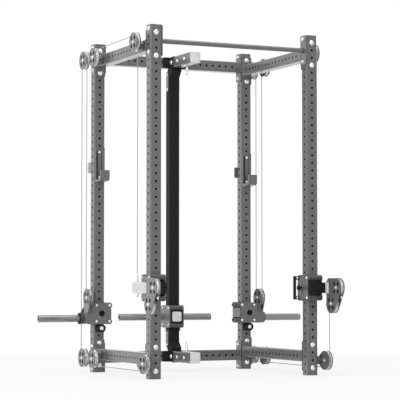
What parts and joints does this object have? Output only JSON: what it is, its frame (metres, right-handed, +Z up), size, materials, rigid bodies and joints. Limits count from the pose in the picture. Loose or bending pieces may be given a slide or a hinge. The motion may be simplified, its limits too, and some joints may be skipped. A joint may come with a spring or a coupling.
{
  "type": "power cage",
  "caption": "Square-tube power cage with plate-loaded cable columns at both sides, swivelling pulley heads, a lat column, bar hooks and a pull-up bar.",
  "frame": {"origin": "on the floor, under the middle of the outline", "axes": "+X to the right seen from the front, +Y to the rear, +Z up"},
  "size_m": [1.989, 1.4194, 2.25],
  "materials": {
    "graphite_paint": "fine-grained satin powder coat",
    "black_paint": "satin black powder coat",
    "silver_paint": "pale satin paint",
    "horn_steel": "satin steel",
    "pin_steel": "satin steel",
    "sheave_alloy": "turned alloy",
    "roller_plastic": "matt moulded",
    "cable_jacket": "smooth nylon jacket",
    "black_rubber": "matt rubber",
    "white_cover": "satin moulded"
  },
  "bodies": {
    "frame": {"upright_front_left": "graphite_paint", "upright_front_right": "graphite_paint", "upright_rear_left": "graphite_paint", "upright_rear_right": "graphite_paint", "upright_caps": "black_rubber", "side_rail_lower_left": "graphite_paint", "side_rail_lower_right": "graphite_paint", "side_rail_upper_left": "graphite_paint", "side_rail_upper_right": "graphite_paint", "rear_rail_lower": "graphite_paint", "rear_rail_upper": "graphite_paint", "pull_up_bar": "graphite_paint", "pulley_brackets": "graphite_paint", "trolley_bumpers": "black_rubber", "lat_post": "black_paint", "lat_arms": "graphite_paint", "cable_fixed": "cable_jacket", "cable_weight_left": "cable_jacket", "cable_weight_right": "cable_jacket", "cable_front_left": "cable_jacket", "cable_front_right": "cable_jacket"},
    "lat_carriage": {"lat_trolley": "graphite_paint", "lat_rollers": "roller_plastic", "lat_cover": "white_cover"},
    "rear_carriage_left": {"rear_trolley_left": "graphite_paint", "rear_rollers_left": "roller_plastic"},
    "front_carriage_left": {"front_trolley_left": "graphite_paint", "front_rollers_left": "roller_plastic", "front_arm_left": "black_paint", "cable_box_left": "silver_paint"},
    "pin_left": {"pop_pin_left": "pin_steel"},
    "swivel_left": {"swivel_head_left": "graphite_paint"},
    "hook_left": {"bar_hook_left": "graphite_paint"},
    "wheel_top_front_left": {"sheave_top_front_left": "sheave_alloy"},
    "wheel_top_mid_left": {"sheave_top_mid_left": "sheave_alloy"},
    "wheel_top_rear_left": {"sheave_top_rear_left": "sheave_alloy"},
    "wheel_low_rear_left": {"sheave_low_rear_left": "sheave_alloy"},
    "wheel_low_mid_left": {"sheave_low_mid_left": "sheave_alloy"},
    "wheel_low_front_left": {"sheave_low_front_left": "sheave_alloy"},
    "wheel_weight_left": {"sheave_weight_left": "sheave_alloy"},
    "wheel_swivel_upper_left": {"sheave_swivel_upper_left": "sheave_alloy"},
    "wheel_swivel_lower_left": {"sheave_swivel_lower_left": "sheave_alloy"},
    "rear_carriage_right": {"rear_trolley_right": "graphite_paint", "rear_rollers_right": "roller_plastic"},
    "front_carriage_right": {"front_trolley_right": "graphite_paint", "front_rollers_right": "roller_plastic", "front_arm_right": "black_paint", "cable_box_right": "silver_paint"},
    "pin_right": {"pop_pin_right": "pin_steel"},
    "swivel_right": {"swivel_head_right": "graphite_paint"},
    "hook_right": {"bar_hook_right": "graphite_paint"},
    "wheel_top_front_right": {"sheave_top_front_right": "sheave_alloy"},
    "wheel_top_mid_right": {"sheave_top_mid_right": "sheave_alloy"},
    "wheel_top_rear_right": {"sheave_top_rear_right": "sheave_alloy"},
    "wheel_low_rear_right": {"sheave_low_rear_right": "sheave_alloy"},
    "wheel_low_mid_right": {"sheave_low_mid_right": "sheave_alloy"},
    "wheel_low_front_right": {"sheave_low_front_right": "sheave_alloy"},
    "wheel_weight_right": {"sheave_weight_right": "sheave_alloy"},
    "wheel_swivel_upper_right": {"sheave_swivel_upper_right": "sheave_alloy"},
    "wheel_swivel_lower_right": {"sheave_swivel_lower_right": "sheave_alloy"}
  },
  "joints": [
    {"name": "weight_slide_left", "type": "slide", "parent": "frame", "child": "rear_carriage_left", "axis": [0, 0, 1], "range_m": [0, 0.78], "deforming": ["cable_weight_left"]},
    {"name": "height_slide_left", "type": "slide", "parent": "frame", "child": "front_carriage_left", "axis": [0, 0, 1], "range_m": [-0.2, 1.3], "deforming": ["cable_front_left"]},
    {"name": "pin_pull_left", "type": "slide", "parent": "front_carriage_left", "child": "pin_left", "axis": [1, 0, 0], "range_m": [-0.014, 0]},
    {"name": "swivel_turn_left", "type": "hinge", "parent": "front_carriage_left", "child": "swivel_left", "pos_m": [-0.65, -0.53475, 0.575], "axis": [0, 0, 1], "range_deg": [-75, 75]},
    {"name": "hook_turn_left", "type": "hinge", "parent": "frame", "child": "hook_left", "pos_m": [-0.5625, 0.54825, 1.4], "axis": [0, -1, 0], "range_deg": [0, 90]},
    {"name": "sheave_top_front_turn_left", "type": "hinge", "parent": "frame", "child": "wheel_top_front_left", "pos_m": [-0.65, -0.32375, 2.148], "axis": [1, 0, 0], "continuous": true},
    {"name": "sheave_top_mid_turn_left", "type": "hinge", "parent": "frame", "child": "wheel_top_mid_left", "pos_m": [-0.65, 0.39225, 2.14], "axis": [1, 0, 0], "continuous": true},
    {"name": "sheave_top_rear_turn_left", "type": "hinge", "parent": "frame", "child": "wheel_top_rear_left", "pos_m": [-0.65, 0.57625, 2.14], "axis": [1, 0, 0], "continuous": true},
    {"name": "sheave_low_rear_turn_left", "type": "hinge", "parent": "frame", "child": "wheel_low_rear_left", "pos_m": [-0.65, 0.57625, 0.098], "axis": [1, 0, 0], "continuous": true},
    {"name": "sheave_low_mid_turn_left", "type": "hinge", "parent": "frame", "child": "wheel_low_mid_left", "pos_m": [-0.65, 0.39225, 0.098], "axis": [1, 0, 0], "continuous": true},
    {"name": "sheave_low_front_turn_left", "type": "hinge", "parent": "frame", "child": "wheel_low_front_left", "pos_m": [-0.65, -0.48875, 0.098], "axis": [1, 0, 0], "continuous": true},
    {"name": "sheave_weight_turn_left", "type": "hinge", "parent": "rear_carriage_left", "child": "wheel_weight_left", "pos_m": [-0.65, 0.48425, 0.5065], "axis": [1, 0, 0], "continuous": true},
    {"name": "sheave_swivel_upper_turn_left", "type": "hinge", "parent": "swivel_left", "child": "wheel_swivel_upper_left", "pos_m": [-0.65, -0.64675, 0.575], "axis": [1, 0, 0], "continuous": true},
    {"name": "sheave_swivel_lower_turn_left", "type": "hinge", "parent": "swivel_left", "child": "wheel_swivel_lower_left", "pos_m": [-0.65, -0.58075, 0.471], "axis": [1, 0, 0], "continuous": true},
    {"name": "weight_slide_right", "type": "slide", "parent": "frame", "child": "rear_carriage_right", "axis": [0, 0, 1], "range_m": [0, 0.78], "deforming": ["cable_weight_right"]},
    {"name": "height_slide_right", "type": "slide", "parent": "frame", "child": "front_carriage_right", "axis": [0, 0, 1], "range_m": [-0.2, 1.3], "deforming": ["cable_front_right"]},
    {"name": "pin_pull_right", "type": "slide", "parent": "front_carriage_right", "child": "pin_right", "axis": [-1, 0, 0], "range_m": [-0.014, 0]},
    {"name": "swivel_turn_right", "type": "hinge", "parent": "front_carriage_right", "child": "swivel_right", "pos_m": [0.65, -0.53475, 0.575], "axis": [0, 0, 1], "range_deg": [-75, 75]},
    {"name": "hook_turn_right", "type": "hinge", "parent": "frame", "child": "hook_right", "pos_m": [0.5625, 0.54825, 1.4], "axis": [0, 1, 0], "range_deg": [0, 90]},
    {"name": "sheave_top_front_turn_right", "type": "hinge", "parent": "frame", "child": "wheel_top_front_right", "pos_m": [0.65, -0.32375, 2.148], "axis": [1, 0, 0], "continuous": true},
    {"name": "sheave_top_mid_turn_right", "type": "hinge", "parent": "frame", "child": "wheel_top_mid_right", "pos_m": [0.65, 0.39225, 2.14], "axis": [1, 0, 0], "continuous": true},
    {"name": "sheave_top_rear_turn_right", "type": "hinge", "parent": "frame", "child": "wheel_top_rear_right", "pos_m": [0.65, 0.57625, 2.14], "axis": [1, 0, 0], "continuous": true},
    {"name": "sheave_low_rear_turn_right", "type": "hinge", "parent": "frame", "child": "wheel_low_rear_right", "pos_m": [0.65, 0.57625, 0.098], "axis": [1, 0, 0], "continuous": true},
    {"name": "sheave_low_mid_turn_right", "type": "hinge", "parent": "frame", "child": "wheel_low_mid_right", "pos_m": [0.65, 0.39225, 0.098], "axis": [1, 0, 0], "continuous": true},
    {"name": "sheave_low_front_turn_right", "type": "hinge", "parent": "frame", "child": "wheel_low_front_right", "pos_m": [0.65, -0.48875, 0.098], "axis": [1, 0, 0], "continuous": true},
    {"name": "sheave_weight_turn_right", "type": "hinge", "parent": "rear_carriage_right", "child": "wheel_weight_right", "pos_m": [0.65, 0.48425, 0.5065], "axis": [1, 0, 0], "continuous": true},
    {"name": "sheave_swivel_upper_turn_right", "type": "hinge", "parent": "swivel_right", "child": "wheel_swivel_upper_right", "pos_m": [0.65, -0.64675, 0.575], "axis": [1, 0, 0], "continuous": true},
    {"name": "sheave_swivel_lower_turn_right", "type": "hinge", "parent": "swivel_right", "child": "wheel_swivel_lower_right", "pos_m": [0.65, -0.58075, 0.471], "axis": [1, 0, 0], "continuous": true},
    {"name": "lat_slide", "type": "slide", "parent": "frame", "child": "lat_carriage", "axis": [0, 0, 1], "range_m": [0, 1.4]}
  ],
  "couplings": [
    {"joint": "sheave_top_front_turn_left", "follows": "height_slide_left", "rad_per_m": -21.739},
    {"joint": "sheave_top_mid_turn_left", "follows": "height_slide_left", "rad_per_m": -21.739},
    {"joint": "sheave_top_rear_turn_left", "follows": "weight_slide_left", "rad_per_m": -43.478},
    {"joint": "sheave_low_rear_turn_left", "follows": "weight_slide_left", "rad_per_m": -43.478},
    {"joint": "sheave_low_mid_turn_left", "follows": "weight_slide_left", "rad_per_m": -43.478},
    {"joint": "sheave_low_front_turn_left", "follows": "weight_slide_left", "rad_per_m": -43.478},
    {"joint": "sheave_weight_turn_left", "follows": "weight_slide_left", "rad_per_m": 21.739},
    {"joint": "sheave_swivel_upper_turn_left", "follows": "weight_slide_left", "rad_per_m": -43.478},
    {"joint": "sheave_swivel_lower_turn_left", "follows": "weight_slide_left", "rad_per_m": 43.478},
    {"joint": "sheave_top_front_turn_right", "follows": "height_slide_right", "rad_per_m": -21.739},
    {"joint": "sheave_top_mid_turn_right", "follows": "height_slide_right", "rad_per_m": -21.739},
    {"joint": "sheave_top_rear_turn_right", "follows": "weight_slide_right", "rad_per_m": -43.478},
    {"joint": "sheave_low_rear_turn_right", "follows": "weight_slide_right", "rad_per_m": -43.478},
    {"joint": "sheave_low_mid_turn_right", "follows": "weight_slide_right", "rad_per_m": -43.478},
    {"joint": "sheave_low_front_turn_right", "follows": "weight_slide_right", "rad_per_m": -43.478},
    {"joint": "sheave_weight_turn_right", "follows": "weight_slide_right", "rad_per_m": 21.739},
    {"joint": "sheave_swivel_upper_turn_right", "follows": "weight_slide_right", "rad_per_m": -43.478},
    {"joint": "sheave_swivel_lower_turn_right", "follows": "weight_slide_right", "rad_per_m": 43.478}
  ]
}
